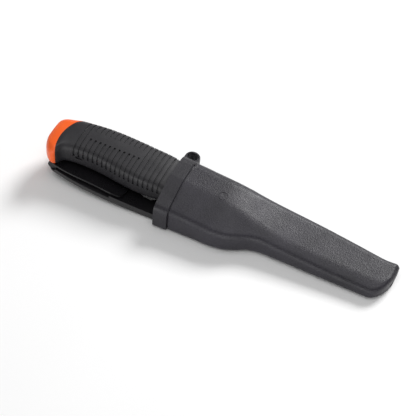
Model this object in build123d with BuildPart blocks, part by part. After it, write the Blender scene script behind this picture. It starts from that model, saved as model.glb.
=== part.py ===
"""Fixed-blade rigging knife pushed home in its moulded belt sheath, in millimetres.

The knife has its own axis, x along it from the butt (-x) to the blade's point (+x), y from the belly
and cutting edge (-y) to the spine (+y), and z out of the flat side that faces up. The sheath lies on its
back, flat from the mouth collar to the tip. The knife axis leans down towards the tip by LEAN, so the
handle and the belt tongue rise towards the butt. Every sketch is placed on a plane of that leaning frame.
The world frame has +Z up, with its origin under the middle of the collar, on the face it rests on.
"""

from build123d import *
from math import cos, radians, sin, sqrt, tan
import os

os.makedirs("parts", exist_ok=True)

# ---- driving dimensions ------------------------------------------------------------------------
LEAN = 4.5                    # degrees that the knife axis dips towards the tip
REST_X = 5.0                  # station under the middle of the collar
MID_Z = 14.4                  # height of the blade's middle plane
TIP_X = 142.0                 # end of the sheath

COLLAR_HALF = 20.45
COLLAR_TOP = 26.0
COLLAR_END = 8.3              # far end of the collar
RIM_X = -0.4                  # the rim, at mid height
RIM_LEAN = 6.0                # degrees that the rim leans towards the butt at its top
LOOP_Z = 12.5                 # underside of the side loop
LOOP_HEIGHT = 8.0

SEAT_X = 1.4                  # mouth of the body, inside the collar
SHOULDER_X = 9.2              # where the body's full section starts
SEAT_FLOOR = 2.5
SEAT_HALF = 18.7
SEAT_TOP = 24.7
MOUTH_HALF = 17.7             # opening that the handle slides into
MOUTH_FLOOR = 3.6
MOUTH_TOP = 23.7
SIDE_WALL = 1.8
END_NEAR = (11.0, 22.0)       # long slanting corner of the end in plan: along the sheath, and across
END_FAR = (3.0, 3.0)          # the short corner on the spine side
END_TOP = (3.8, 4.2)          # how the upper face rolls over the end: along, and down

GUTTER_Y = 3.0                # line that the tongue and leaf are hollowed about
GUTTER_R = 63.0               # radius of the tongue's hollow upper face
TONGUE_MIDDLE = 1.7           # thickness of the tongue along that line
TONGUE_END = -75.8
TONGUE_STEP_X = -31.4         # towards the butt from here the tongue's edges stand lower
TONGUE_STEP_Z = 3.1
ROOT_Z = 1.2                  # underside of the tongue's root inside the collar
BELT_SLOT = 0.9               # between tongue and leaf
LEAF_THICK = 1.3
LEAF_FREE_X = -24.0
FOLD_X = -72.6                # line that the leaf swings about
FOLD_Z = 3.9
FOLD_R = 2.9
FOLD_PLAY = 0.05

GROOVE_COUNT = 19
GROOVE_FIRST_X = -60.5
GROOVE_PITCH = 3.14
GROOVE_WIDTH = 1.15
GROOVE_DEPTH = 0.75
PAD_FIRST = 2                 # grooves broken by the thumb pads
PAD_LAST = 12
PAD_WIDTH = 6.0
CAP_ARC_X = -43.6             # centre of the arc in plan where grip and cap meet
CAP_ARC_Y = -3.2
CAP_ARC_R = 28.4

BLADE_THICK = 2.5


# ---- the leaning frame -------------------------------------------------------------------------
def to_world(x, y, z):
    """World position of a point of the leaning frame."""
    a = radians(LEAN)
    along = x - REST_X
    return (along * cos(a) + z * sin(a), y, z * cos(a) - along * sin(a))


AXIS_DIR = (cos(radians(LEAN)), 0, -sin(radians(LEAN)))
UP_DIR = (sin(radians(LEAN)), 0, cos(radians(LEAN)))


def station(x):
    """Plane across the knife: its own x is the frame's y, and its own y is z."""
    return Plane(origin=to_world(x, 0, 0), x_dir=(0, 1, 0), z_dir=AXIS_DIR)


def deck(z):
    """Plan plane: its own x and y are the frame's."""
    return Plane(origin=to_world(0, 0, z), x_dir=AXIS_DIR, z_dir=UP_DIR)


def side(y):
    """Upright plane along the knife: its own x is the frame's x, and its own y is z."""
    return Plane(origin=to_world(0, y, 0), x_dir=AXIS_DIR, z_dir=(0, -1, 0))


def table_z(x):
    """Height of the resting face in the leaning frame."""
    return (x - REST_X) * tan(radians(LEAN))


def smooth(table, x):
    """Row of a table of stations at x, on cubics through its rows that never overshoot them."""
    i = max(k for k in range(len(table) - 1) if k == 0 or table[k][0] <= x)
    span = table[i + 1][0] - table[i][0]
    t = (x - table[i][0]) / span
    row = [x]
    for c in range(1, len(table[0])):
        steps = [(b[c] - a[c]) / (b[0] - a[0]) for a, b in zip(table, table[1:])]
        slopes = [2 * a * b / (a + b) if a * b > 0 else 0.0 for a, b in zip(steps, steps[1:])]
        slopes = [steps[0]] + slopes + [steps[-1]]
        value = (1 + 2 * t) * (1 - t) ** 2 * table[i][c] + t * t * (3 - 2 * t) * table[i + 1][c]
        value += t * (1 - t) ** 2 * span * slopes[i] + t * t * (t - 1) * span * slopes[i + 1]
        row.append(value)
    return row


# ---- shell sections ----------------------------------------------------------------------------
# The upper face is level from the spine side to a soft crease, then slopes down to the belly side.
def shell_points(belly, spine, floor, top, crease, drop, draft=0.0):
    return [(spine, floor), (spine, top), (crease, top), (belly + draft, top - drop), (belly, floor)]


# station, belly y, spine y, top z, crease y, drop, draft, top radius, belly radius, foot radius
BODY = [
    (SHOULDER_X, -19.4, 19.3, 25.2, -1.5, 7.5, 0.0, 6.3, 5.5, 2.8),
    (18.0, -19.4, 19.3, 25.2, -1.5, 7.5, 0.0, 6.8, 5.5, 2.8),
    (27.0, -19.6, 19.3, 25.2, -1.5, 7.5, 0.0, 7.5, 5.4, 3.2),
    (35.0, -19.9, 19.2, 25.1, -1.6, 7.3, 0.0, 7.6, 5.2, 3.5),
    (44.0, -18.9, 19.0, 24.1, -1.9, 6.2, 0.3, 7.1, 5.0, 3.8),
    (52.0, -15.9, 19.05, 22.2, -2.6, 4.5, 0.7, 6.4, 4.9, 4.0),
    (58.0, -13.0, 19.0, 20.9, -3.3, 3.2, 1.0, 5.7, 4.8, 4.0),
    (65.7, -11.85, 18.8, 19.9, -4.0, 2.2, 1.2, 5.1, 4.7, 4.0),
    (76.0, -12.0, 18.45, 19.2, -4.6, 1.75, 1.2, 4.7, 4.7, 4.0),
    (90.0, -12.3, 17.65, 19.0, -5.0, 1.65, 1.2, 4.6, 4.7, 4.0),
    (104.5, -12.6, 16.35, 19.05, -5.2, 1.65, 1.2, 4.5, 4.7, 4.0),
    (116.0, -12.7, 15.15, 19.2, -5.3, 1.65, 1.2, 4.4, 4.7, 4.0),
    (125.0, -12.75, 14.0, 19.4, -5.3, 1.65, 1.2, 4.3, 4.6, 4.0),
    (132.0, -12.8, 13.2, 19.6, -5.3, 1.65, 1.2, 4.2, 4.6, 4.0),
    (TIP_X, -12.9, 12.9, 19.9, -5.3, 1.65, 1.2, 4.0, 4.5, 4.0),
]
MOUTH_STATIONS = [SHOULDER_X, 13.5, 18, 22.5, 27, 31, 35, 38, 41, 44, 47, 50, 53, 56, 59, 62, 66]
BLADE_STATIONS = [71, 77, 84, 91, 98, 105, 112, 118, 123, 127, 130, 132, 133.8, 135.3]
END_STATIONS = [136.5, 137.6, 138.6, 139.5, 140.3, 141.0, 141.5]


def end_roll(x, reach, depth):
    """How far an elliptical corner at the sheath's end has come in at x."""
    past = max(x - TIP_X + reach, 0.0) / reach
    return depth * (1 - sqrt(1 - past**2))


def body_section(x, wall=0.0, floor=-0.25):
    """Corner points and radii of the sheath's section, taken in by wall."""
    _, belly, spine, top, crease, drop, draft, r_top, r_belly, r_foot = smooth(BODY, x)
    width = spine - belly
    crease_at = (crease - belly) / width
    belly += end_roll(x, *END_NEAR)
    spine -= end_roll(x, *END_FAR)
    top -= end_roll(x, *END_TOP) + wall
    scale = (spine - belly) / width
    belly += wall
    spine -= wall
    crease = belly + crease_at * (spine - belly)
    drop *= scale
    draft *= scale
    foot = table_z(x) + floor
    near = top - drop - foot
    far = top - foot
    radii = [
        min(2.5 * scale, 0.4 * far),
        min(r_top * scale - 0.7 * wall, 0.5 * far),
        (14.0 - wall) * scale,
        min(r_belly * scale - 0.7 * wall, 0.5 * near),
        min(r_foot * scale - 0.7 * wall, 0.4 * near),
    ]
    return shell_points(belly, spine, foot, top, crease, drop, draft), radii


# ---- sheath body -------------------------------------------------------------------------------
with BuildPart() as body_outer:
    for x in MOUTH_STATIONS + BLADE_STATIONS + END_STATIONS:
        points, radii = body_section(x)
        with BuildSketch(station(x)):
            with BuildLine():
                FilletPolyline(*points, radius=radii, close=True)
            make_face()
    loft()

MOUTH = shell_points(-MOUTH_HALF, MOUTH_HALF, MOUTH_FLOOR, MOUTH_TOP, -2.0, 6.9)
SEAT = shell_points(-SEAT_HALF, SEAT_HALF, SEAT_FLOOR, SEAT_TOP, -1.7, 7.2)

with BuildPart() as mouth_cavity:
    with BuildSketch(station(-6)):
        with BuildLine():
            FilletPolyline(*MOUTH, radius=[1.5, 6.6, 14.0, 4.2, 1.5], close=True)
        make_face()
    extrude(amount=42)

with BuildPart() as blade_cavity:
    for x in [34, 37, 40, 43, 46, 50, 54, 58, 62, 67, 74, 82, 92, 104, 116, 126, 134]:
        points, radii = body_section(x, SIDE_WALL, 1.3)
        with BuildSketch(station(x)):
            with BuildLine():
                FilletPolyline(*points, radius=radii, close=True)
            make_face()
    loft()

with BuildPart() as seat:
    with BuildSketch(station(-6)):
        with BuildLine():
            FilletPolyline(*SEAT, radius=[2.0, 7.4, 14.0, 4.9, 2.0], close=True)
        make_face()
    extrude(amount=6 + SHOULDER_X + 1)


# Everything on the butt side of the leaning rim, from depth behind it
def rim_cutter(depth):
    plane = Plane(origin=to_world(RIM_X + depth, 0, 13), x_dir=(0, 1, 0), z_dir=AXIS_DIR)
    plane = plane.rotated((-RIM_LEAN, 0, 0))
    return plane * Pos(0, 0, -60) * Box(120, 120, 120, mode=Mode.PRIVATE)


rim_slab = rim_cutter(0)
seat_rim_slab = rim_cutter(0.9)
below_rest = Pos(50, 0, -10) * Box(400, 100, 20)
root_height = SEAT_FLOOR - ROOT_Z
root_pocket = deck(ROOT_Z + root_height / 2 + 0.1) * Pos(-1.25, 0, 0) * Box(17.5, 32.0, root_height + 0.2)
root_plate = deck(ROOT_Z + root_height / 2) * Pos(1.75, 0, 0) * Box(11.5, 32.0, root_height)

with BuildPart() as sheath_body:
    add(body_outer.part)
    add(below_rest, mode=Mode.SUBTRACT)
    add(seat.part)
    add(mouth_cavity.part, mode=Mode.SUBTRACT)
    add(blade_cavity.part, mode=Mode.SUBTRACT)
    # plain ring mark on the upper face
    with BuildSketch(deck(24.9)):
        with Locations((33.1, 2.0)):
            Circle(2.85)
            Circle(2.45, mode=Mode.SUBTRACT)
    extrude(amount=4, mode=Mode.SUBTRACT)
    # drain slot low in the end
    with BuildSketch(station(130)):
        with Locations((1.6, table_z(TIP_X) + 2.1)):
            RectangleRounded(3.8, 2.6, 1.0)
    extrude(amount=20, mode=Mode.SUBTRACT)
    add(seat_rim_slab, mode=Mode.SUBTRACT)
sheath_body.part.label = "sheath_body"

# ---- mouth collar with its side loop -----------------------------------------------------------
with BuildPart() as side_loop:
    with BuildSketch(deck(LOOP_Z)):
        with BuildLine():
            FilletPolyline(
                (-1.4, 19.2),
                (-1.4, 26.7),
                (8.1, 26.7),
                (8.1, 19.2),
                radius=[0.1, 4.6, 4.6, 0.1],
                close=True,
            )
        make_face()
        with Locations((3.35, 23.0)):
            RectangleRounded(7.0, 5.0, 2.2, mode=Mode.SUBTRACT)
    extrude(amount=LOOP_HEIGHT)
    for end_face in [-1, 0]:
        fillet(side_loop.faces().sort_by(Axis((0, 0, 0), UP_DIR))[end_face].outer_wire().edges(), 0.5)

with BuildPart() as mouth_collar:
    for x in [-4.0, COLLAR_END]:
        with BuildSketch(station(x)):
            with BuildLine():
                FilletPolyline(
                    *shell_points(-COLLAR_HALF, COLLAR_HALF, table_z(x) - 0.25, COLLAR_TOP, -1.5, 8.0),
                    radius=[2.5, 8.4, 14.0, 6.0, 2.5],
                    close=True,
                )
            make_face()
    loft()
    chamfer(mouth_collar.faces().sort_by(Axis((0, 0, 0), AXIS_DIR))[-1].outer_wire().edges(), 0.35)
    add(below_rest, mode=Mode.SUBTRACT)
    add(seat.part, mode=Mode.SUBTRACT)
    add(root_pocket, mode=Mode.SUBTRACT)
    add(rim_slab, mode=Mode.SUBTRACT)
    add(side_loop.part)
mouth_collar.part.label = "mouth_collar"

# ---- belt tongue -------------------------------------------------------------------------------
with BuildPart() as gutter:
    with BuildSketch(station(-90)):
        with Locations((GUTTER_Y, TONGUE_MIDDLE + GUTTER_R)):
            Circle(GUTTER_R)
    extrude(amount=100)

with BuildPart() as belt_tongue:
    with BuildSketch(deck(0)):
        with BuildLine():
            Spline((3, 16.0), (-15, 16.9), (-35, 17.4), (-57, 16.4), (-71, 14.3))
            Spline((-71, 14.3), (-74.4, 12.6), (TONGUE_END, 9.0), tangents=[(-1, -0.18), (0, -1)])
            Line((TONGUE_END, 9.0), (TONGUE_END, -9.0))
            Spline((TONGUE_END, -9.0), (-74.4, -12.6), (-71, -14.3), tangents=[(0, -1), (1, -0.18)])
            Spline((-71, -14.3), (-57, -16.4), (-35, -17.4), (-15, -16.9), (3, -16.0))
            Line((3, -16.0), (3, 16.0))
        make_face()
    extrude(amount=9)
    add(gutter.part, mode=Mode.SUBTRACT)
    # lower edges where a belt passes between tongue and leaf
    with BuildSketch(deck(TONGUE_STEP_Z)):
        with Locations((TONGUE_STEP_X - 30, 0)):
            Rectangle(60, 50)
    extrude(amount=10, mode=Mode.SUBTRACT)
    # trough that the fold of the leaf turns in
    with BuildSketch(side(-25)):
        with Locations((FOLD_X, FOLD_Z)):
            Circle(FOLD_R + FOLD_PLAY)
    extrude(amount=-50, mode=Mode.SUBTRACT)
    # buttonhole
    with BuildSketch(deck(-2)):
        with Locations((-11.75, 0)):
            RectangleRounded(11.5, 11.6, 4.0)
    extrude(amount=12, mode=Mode.SUBTRACT)
    # the collar's rim is where the strap ends and its root goes on
    add(rim_slab, mode=Mode.INTERSECT)
    add(root_plate)
belt_tongue.part.label = "belt_tongue"

# ---- belt leaf ---------------------------------------------------------------------------------
with BuildPart() as belt_leaf:
    with BuildSketch(deck(0)):
        with BuildLine():
            Spline((-26.5, 16.0), (-32, 16.1), (-40, 15.6), (-59, 15.1), (FOLD_X, 13.2))
            Line((FOLD_X, 13.2), (FOLD_X, -13.2))
            Spline((FOLD_X, -13.2), (-59, -15.1), (-40, -15.6), (-32, -16.1), (-26.5, -16.0))
            ThreePointArc((-26.5, -16.0), (-24.75, -15.0), (LEAF_FREE_X, -13.2))
            Line((LEAF_FREE_X, -13.2), (LEAF_FREE_X, 13.2))
            ThreePointArc((LEAF_FREE_X, 13.2), (-24.75, 15.0), (-26.5, 16.0))
        make_face()
    extrude(amount=20)
    with BuildSketch(station(-90)):
        with Locations((GUTTER_Y, TONGUE_MIDDLE + GUTTER_R)):
            Circle(GUTTER_R - BELT_SLOT)
            Circle(GUTTER_R - BELT_SLOT - LEAF_THICK, mode=Mode.SUBTRACT)
    extrude(amount=100, mode=Mode.INTERSECT)
    with BuildSketch(side(-13.2)):
        with Locations((FOLD_X, FOLD_Z)):
            Circle(FOLD_R)
    extrude(amount=-26.4)
    with BuildSketch(station(-90)):
        with Locations((GUTTER_Y, TONGUE_MIDDLE + GUTTER_R)):
            Circle(GUTTER_R - BELT_SLOT - LEAF_THICK)
    extrude(amount=100, mode=Mode.SUBTRACT)
belt_leaf.part.label = "belt_leaf"

# ---- handle ------------------------------------------------------------------------------------
# station, belly y, spine y, thickness, belly drop, belly radius, spine radius: the last three as
# parts of the thickness
HANDLE = [
    (-80.3, -1.0, 6.0, 4.4, 0.05, 0.28, 0.40),
    (-79.5, -6.0, 9.6, 10.0, 0.05, 0.30, 0.40),
    (-77.6, -11.0, 12.3, 13.3, 0.05, 0.30, 0.40),
    (-75.0, -14.0, 13.4, 15.8, 0.05, 0.30, 0.40),
    (-72.0, -15.5, 14.2, 17.2, 0.05, 0.30, 0.40),
    (-70.0, -14.7, 14.8, 17.8, 0.05, 0.30, 0.40),
    (-68.7, -12.5, 15.2, 18.1, 0.05, 0.29, 0.40),
    (-66.6, -10.0, 15.8, 18.4, 0.05, 0.29, 0.40),
    (-63.5, -8.7, 16.4, 18.8, 0.05, 0.28, 0.40),
    (-60.0, -8.2, 16.9, 19.1, 0.05, 0.28, 0.40),
    (-55.0, -7.7, 17.7, 19.4, 0.05, 0.28, 0.40),
    (-49.0, -7.5, 18.45, 19.5, 0.05, 0.28, 0.40),
    (-43.0, -7.6, 18.9, 19.6, 0.05, 0.28, 0.40),
    (-36.0, -8.2, 19.05, 19.6, 0.05, 0.28, 0.39),
    (-26.5, -9.1, 19.0, 19.55, 0.05, 0.28, 0.39),
    (-18.5, -9.5, 18.8, 19.3, 0.05, 0.28, 0.38),
    (-11.5, -9.2, 18.6, 18.9, 0.05, 0.28, 0.36),
    (-6.0, -8.8, 18.3, 18.5, 0.06, 0.31, 0.35),
    (-1.0, -8.6, 17.45, 17.9, 0.08, 0.34, 0.35),
    (8.0, -8.8, 17.35, 17.2, 0.10, 0.36, 0.36),
    (20.0, -8.9, 17.1, 16.8, 0.10, 0.36, 0.37),
    (33.0, -9.0, 16.6, 16.2, 0.10, 0.36, 0.38),
]
BUTT_STATIONS = [-80.3, -80, -79.4, -78.2, -76.6, -75, -73.4, -71.8, -70.2, -68.6, -67, -65]
GRIP_STATIONS = [-61.5, -58.5, -55, -51, -46, -40, -34, -28, -22, -17, -12.5, -9, -6, -3.5]
INNER_STATIONS = [-1, 3, 8, 14, 20, 27, 33]


def oval_points(row, inset):
    x, belly, spine, thick, drop, r_belly, r_spine = row
    half = thick / 2
    crown = (belly + spine) / 2
    low = half * (1 - 2 * drop) - inset
    far = half * 0.87 - inset
    return [
        (belly + inset, MID_Z - low),
        (belly + inset, MID_Z + low),
        (crown, MID_Z + half - inset),
        (spine - inset, MID_Z + far),
        (spine - inset, MID_Z - far),
        (crown, MID_Z - half + inset),
    ]


def oval_radii(row, inset):
    x, belly, spine, thick, drop, r_belly, r_spine = row
    near = max(r_belly * thick - inset, 0.8)
    far = max(r_spine * thick - inset, 0.8)
    crown = 2.0 * (spine - belly) - 3 * inset
    return [near, near, crown, far, far, crown]


with BuildPart() as handle_blank:
    for x in BUTT_STATIONS + GRIP_STATIONS + INNER_STATIONS:
        row = smooth(HANDLE, x)
        with BuildSketch(station(x)):
            with BuildLine():
                FilletPolyline(*oval_points(row, 0), radius=oval_radii(row, 0), close=True)
            make_face()
    loft()

with BuildPart() as core_bar:
    for x in [-74.0, -66.0, -58.0, -48.0, -36.0, -24.0, -12.0, 0.0, 14.0, 29.5]:
        row = smooth(HANDLE, x)
        with BuildSketch(station(x)):
            with BuildLine():
                FilletPolyline(*oval_points(row, 3.6), radius=oval_radii(row, 3.6), close=True)
            make_face()
    loft()

with BuildPart() as grip_zone:
    with BuildSketch(deck(-5)):
        with Locations((CAP_ARC_X, CAP_ARC_Y)):
            Circle(CAP_ARC_R)
        with Locations((-5.0, 0)):
            Rectangle(100, 80)
    extrude(amount=45)

with BuildPart() as tang:
    with BuildSketch(deck(MID_Z)):
        with Locations((-14.0, 3.5)):
            Rectangle(96.0, 12.0)
    extrude(amount=BLADE_THICK / 2, both=True)

with BuildPart() as handle_core:
    add(handle_blank.part)
    add(grip_zone.part, mode=Mode.SUBTRACT)
    add(core_bar.part)
    add(tang.part, mode=Mode.SUBTRACT)
handle_core.part.label = "handle_core"

with BuildPart() as grip:
    add(handle_blank.part)
    add(grip_zone.part, mode=Mode.INTERSECT)
    # finger guard on the belly side
    with BuildSketch(deck(MID_Z)):
        with BuildLine():
            FilletPolyline(
                (6.0, -5.0),
                (14.0, -12.0),
                (21.0, -14.6),
                (33.0, -14.6),
                (33.0, -5.0),
                radius=[0.5, 6.0, 6.0, 1.5, 0.5],
                close=True,
            )
        make_face()
    extrude(amount=3.2, both=True)
    add(core_bar.part, mode=Mode.SUBTRACT)
    add(tang.part, mode=Mode.SUBTRACT)
    # grip grooves round the spine and both faces, left plain along the belly and on two thumb pads
    for i in range(GROOVE_COUNT):
        x = GROOVE_FIRST_X + i * GROOVE_PITCH
        row = smooth(HANDLE, x)
        with BuildSketch(station(x - GROOVE_WIDTH / 2)):
            with Locations((3.0, MID_Z)):
                Rectangle(50, 40)
            with BuildLine():
                FilletPolyline(
                    *oval_points(row, GROOVE_DEPTH),
                    radius=oval_radii(row, GROOVE_DEPTH),
                    close=True,
                )
            make_face(mode=Mode.SUBTRACT)
            with Locations((-16.0, MID_Z - 9.0)):
                Rectangle(20, 20.0, mode=Mode.SUBTRACT)
            if PAD_FIRST <= i <= PAD_LAST:
                with Locations((5.4 + 0.045 * (x + 55), MID_Z)):
                    Rectangle(PAD_WIDTH, 40, mode=Mode.SUBTRACT)
        extrude(amount=GROOVE_WIDTH, mode=Mode.SUBTRACT)
    # small oblong dimple in the belly
    with BuildSketch(side(-7.2)):
        with Locations((-57.0, MID_Z)):
            SlotOverall(5.0, 1.8)
    extrude(amount=5, mode=Mode.SUBTRACT)
grip.part.label = "grip"

# ---- blade -------------------------------------------------------------------------------------
with BuildPart() as blade:
    with BuildSketch(deck(MID_Z)):
        with BuildLine():
            Line((33.0, 13.4), (76.0, 12.8))
            Spline((76.0, 12.8), (106.0, 8.6), (130.0, -3.0), tangents=[(1, -0.014), (1, -0.6)])
            Spline((130.0, -3.0), (118.0, -6.7), (103.0, -7.7), tangents=[(-1, -0.5), (-1, 0)])
            Line((103.0, -7.7), (33.0, -7.7))
            Line((33.0, -7.7), (33.0, 13.4))
        make_face()
    extrude(amount=BLADE_THICK / 2, both=True)
    add(tang.part)
blade.part.label = "blade"

# ---- files -------------------------------------------------------------------------------------
PIECES = [sheath_body, mouth_collar, belt_tongue, belt_leaf, handle_core, grip, blade]
for piece in PIECES:
    export_step(piece.part, "parts/" + piece.part.label + ".step")
    box = piece.part.bounding_box()
    print(piece.part.label, piece.part.is_valid, len(piece.part.solids()), round(piece.part.volume),
          [round(v, 1) for v in (*box.min, *box.max)])
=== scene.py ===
import bpy
import math
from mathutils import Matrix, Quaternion, Vector

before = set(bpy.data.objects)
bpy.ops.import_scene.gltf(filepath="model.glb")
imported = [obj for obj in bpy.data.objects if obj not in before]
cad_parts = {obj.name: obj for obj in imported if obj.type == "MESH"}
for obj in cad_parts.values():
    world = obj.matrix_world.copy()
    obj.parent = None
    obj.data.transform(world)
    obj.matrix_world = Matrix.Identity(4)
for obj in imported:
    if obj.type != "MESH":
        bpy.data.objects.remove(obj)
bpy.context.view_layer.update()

# ---- node helpers ------------------------------------------------------------------------------
NOISE_LOW, NOISE_HIGH = 0.3, 0.7          # ramp positions that hold most of the noise's values


def new_material(name):
    """A node material, with its tree, its shader and its object-space coordinates."""
    mat = bpy.data.materials.new(name)
    mat.use_nodes = True
    tree = mat.node_tree
    shader = tree.nodes["Principled BSDF"]
    coords = tree.nodes.new("ShaderNodeTexCoord")
    return mat, tree, shader, coords.outputs["Object"]


def noise(tree, vector, scale, detail, rough=0.55, stretch=None):
    """Fractal noise over object space, whose features are about 1/scale metres."""
    if stretch:
        mapping = tree.nodes.new("ShaderNodeMapping")
        mapping.inputs["Scale"].default_value = stretch
        tree.links.new(vector, mapping.inputs["Vector"])
        vector = mapping.outputs["Vector"]
    node = tree.nodes.new("ShaderNodeTexNoise")
    node.inputs["Scale"].default_value = scale
    node.inputs["Detail"].default_value = detail
    node.inputs["Roughness"].default_value = rough
    tree.links.new(vector, node.inputs["Vector"])
    return node.outputs["Fac"]


def ramp_to(tree, fac, low, high, socket):
    """Drive a shader socket from noise, between two greys or two colours."""
    node = tree.nodes.new("ShaderNodeValToRGB")
    stops = ((NOISE_LOW, low), (NOISE_HIGH, high))
    for element, (position, value) in zip(node.color_ramp.elements, stops):
        rgb = value if isinstance(value, tuple) else (value, value, value)
        element.position = position
        element.color = (*rgb, 1.0)
    tree.links.new(fac, node.inputs["Fac"])
    tree.links.new(node.outputs["Color"], socket)


def average(tree, first, second):
    """Mean of two node outputs."""
    add = tree.nodes.new("ShaderNodeMath")
    add.operation = "ADD"
    tree.links.new(first, add.inputs[0])
    tree.links.new(second, add.inputs[1])
    halve = tree.nodes.new("ShaderNodeMath")
    halve.operation = "MULTIPLY"
    tree.links.new(add.outputs[0], halve.inputs[0])
    halve.inputs[1].default_value = 0.5
    return halve.outputs[0]


def bump(tree, shader, height, distance):
    """Surface relief from a height output; distance is the relief in metres."""
    node = tree.nodes.new("ShaderNodeBump")
    node.inputs["Strength"].default_value = 1.0
    node.inputs["Distance"].default_value = distance
    tree.links.new(height, node.inputs["Height"])
    tree.links.new(node.outputs["Normal"], shader.inputs["Normal"])


# ---- materials ---------------------------------------------------------------------------------
SHADE_SCALE = 45.0                        # slow shade changes, about 22 mm across
RUBBED_SCALE = 130.0                      # rubbed patches, about 8 mm across
PLASTIC_SPECULAR = 0.42
LINE_SCALE = 900.0                        # grinding lines on the blade
LINE_STRETCH = (0.35, 6.0, 6.0)           # long along the blade, narrow across it
LINE_DEPTH = 0.00001


def moulded_plastic(name, dark, light, rough_low, rough_high, grain, depth):
    """Moulded plastic with a fine cast grain, slow shade changes and faint rubbed patches."""
    mat, tree, shader, vector = new_material(name)
    broad = noise(tree, vector, SHADE_SCALE, 2.0)
    fine = noise(tree, vector, grain, 4.0, 0.65)
    ramp_to(tree, average(tree, fine, broad), dark, light, shader.inputs["Base Color"])
    rubbed = noise(tree, vector, RUBBED_SCALE, 3.0)
    ramp_to(tree, rubbed, rough_low, rough_high, shader.inputs["Roughness"])
    shader.inputs["Specular IOR Level"].default_value = PLASTIC_SPECULAR
    bump(tree, shader, fine, depth)
    return mat


def ground_steel(name):
    """Steel with fine grinding lines along the blade."""
    mat, tree, shader, vector = new_material(name)
    shader.inputs["Metallic"].default_value = 1.0
    lines = noise(tree, vector, LINE_SCALE, 4.0, 0.6, LINE_STRETCH)
    ramp_to(tree, lines, (0.50, 0.50, 0.51), (0.66, 0.66, 0.67), shader.inputs["Base Color"])
    ramp_to(tree, lines, 0.22, 0.34, shader.inputs["Roughness"])
    bump(tree, shader, lines, LINE_DEPTH)
    return mat


# Each plastic: darkest and lightest colour, lowest and highest roughness, grain per metre and
# the grain's depth in metres.
MATERIALS = {
    "sheath_body": moulded_plastic(
        "sheath_plastic", (0.006, 0.0054, 0.0085), (0.026, 0.0235, 0.033),
        0.38, 0.50, 1150.0, 0.00020),
    "mouth_collar": moulded_plastic(
        "collar_plastic", (0.005, 0.0045, 0.007), (0.019, 0.017, 0.024),
        0.38, 0.50, 1300.0, 0.00012),
    "belt_tongue": moulded_plastic(
        "tongue_plastic", (0.007, 0.007, 0.008), (0.013, 0.012, 0.014),
        0.26, 0.36, 2400.0, 0.00003),
    "belt_leaf": moulded_plastic(
        "leaf_plastic", (0.006, 0.006, 0.007), (0.011, 0.010, 0.012),
        0.24, 0.34, 2400.0, 0.00003),
    "grip": moulded_plastic(
        "grip_rubber", (0.009, 0.0085, 0.0105), (0.017, 0.016, 0.019),
        0.40, 0.54, 2600.0, 0.00004),
    "handle_core": moulded_plastic(
        "core_plastic", (0.78, 0.10, 0.010), (0.88, 0.125, 0.014),
        0.36, 0.46, 2600.0, 0.00002),
    "blade": ground_steel("blade_steel"),
}
for node_name, mat in MATERIALS.items():
    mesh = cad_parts[node_name].data
    mesh.materials.clear()
    mesh.materials.append(mat)

# ---- floor -------------------------------------------------------------------------------------
FLOOR_HALF = 4                            # metres from the middle to each side
FLOOR_DROP = 0.0002                       # just below the flat back, so the two don't share a plane
floor_corners = [
    (-FLOOR_HALF, -FLOOR_HALF, 0), (FLOOR_HALF, -FLOOR_HALF, 0),
    (FLOOR_HALF, FLOOR_HALF, 0), (-FLOOR_HALF, FLOOR_HALF, 0),
]
floor_mesh = bpy.data.meshes.new("floor")
floor_mesh.from_pydata(floor_corners, [], [(0, 1, 2, 3)])
floor = bpy.data.objects.new("floor", floor_mesh)
bpy.context.collection.objects.link(floor)
floor.location.z = -FLOOR_DROP
floor_mat, floor_tree, floor_shader, floor_vector = new_material("floor_paper")
paper = noise(floor_tree, floor_vector, 4.0, 2.0)
ramp_to(floor_tree, paper, 0.86, 0.88, floor_shader.inputs["Base Color"])
floor_shader.inputs["Roughness"].default_value = 0.9
floor_shader.inputs["Specular IOR Level"].default_value = 0.1
floor_mesh.materials.append(floor_mat)

# ---- light -------------------------------------------------------------------------------------
LIT_CENTRE = Vector((0.022, -0.002, 0.012))
WORLD_STRENGTH = 0.27


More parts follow.
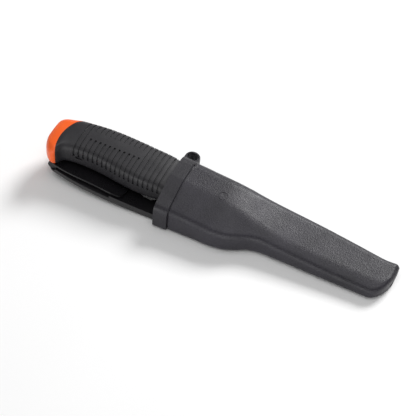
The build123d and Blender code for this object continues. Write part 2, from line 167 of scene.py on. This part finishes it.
def direction(azimuth, elevation):
    """Unit vector towards a bearing in degrees; azimuth 0 is from -Y and 90 from +X."""
    a, e = math.radians(azimuth), math.radians(elevation)
    return Vector((math.sin(a) * math.cos(e), -math.cos(a) * math.cos(e), math.sin(e)))


def aim(obj, centre, back, distance):
    """Stand an object off a point and turn it to look at that point."""
    obj.location = centre + back * distance
    obj.rotation_mode = "QUATERNION"
    obj.rotation_quaternion = (-back).to_track_quat("-Z", "Y")


def softbox(name, azimuth, elevation, distance, size, power):
    """Area light aimed at the object: distance and size in metres, power in watts."""
    data = bpy.data.lights.new(name, "AREA")
    data.shape = "RECTANGLE"
    data.size, data.size_y = size
    data.energy = power
    data.color = (1, 1, 1)
    obj = bpy.data.objects.new(name, data)
    bpy.context.collection.objects.link(obj)
    aim(obj, LIT_CENTRE, direction(azimuth, elevation), distance)


softbox("key", 163, 38, 1.6, (0.55, 0.55), 26.0)
softbox("overhead", 20, 80, 1.5, (1.3, 1.3), 9.0)
softbox("front", 5, 3, 1.3, (2.2, 0.12), 8.0)
world = bpy.data.worlds.new("studio")
world.use_nodes = True
sky = world.node_tree.nodes["Background"]
sky.inputs["Color"].default_value = (1, 1, 1, 1)
sky.inputs["Strength"].default_value = WORLD_STRENGTH
bpy.context.scene.world = world
bpy.context.scene.view_settings.view_transform = "Standard"

# ---- camera ------------------------------------------------------------------------------------
AZIMUTH, ELEVATION, ROLL = 26.27, 52.05, 0.15
TARGET = Vector((0.02228, -0.00211, 0.01207))
DISTANCE = 0.750
SENSOR, LENS = 36.0, 110.95               # millimetres
camera_data = bpy.data.cameras.new("camera")
camera_data.sensor_width = SENSOR
camera_data.lens = LENS
camera_data.clip_start = 0.01
camera_data.clip_end = 20.0
camera = bpy.data.objects.new("camera", camera_data)
bpy.context.collection.objects.link(camera)
aim(camera, TARGET, direction(AZIMUTH, ELEVATION), DISTANCE)
camera.rotation_quaternion = camera.rotation_quaternion @ Quaternion((0, 0, 1), math.radians(ROLL))
bpy.context.scene.camera = camera

# ---- refresh the scene -------------------------------------------------------------------------
bpy.context.view_layer.update()
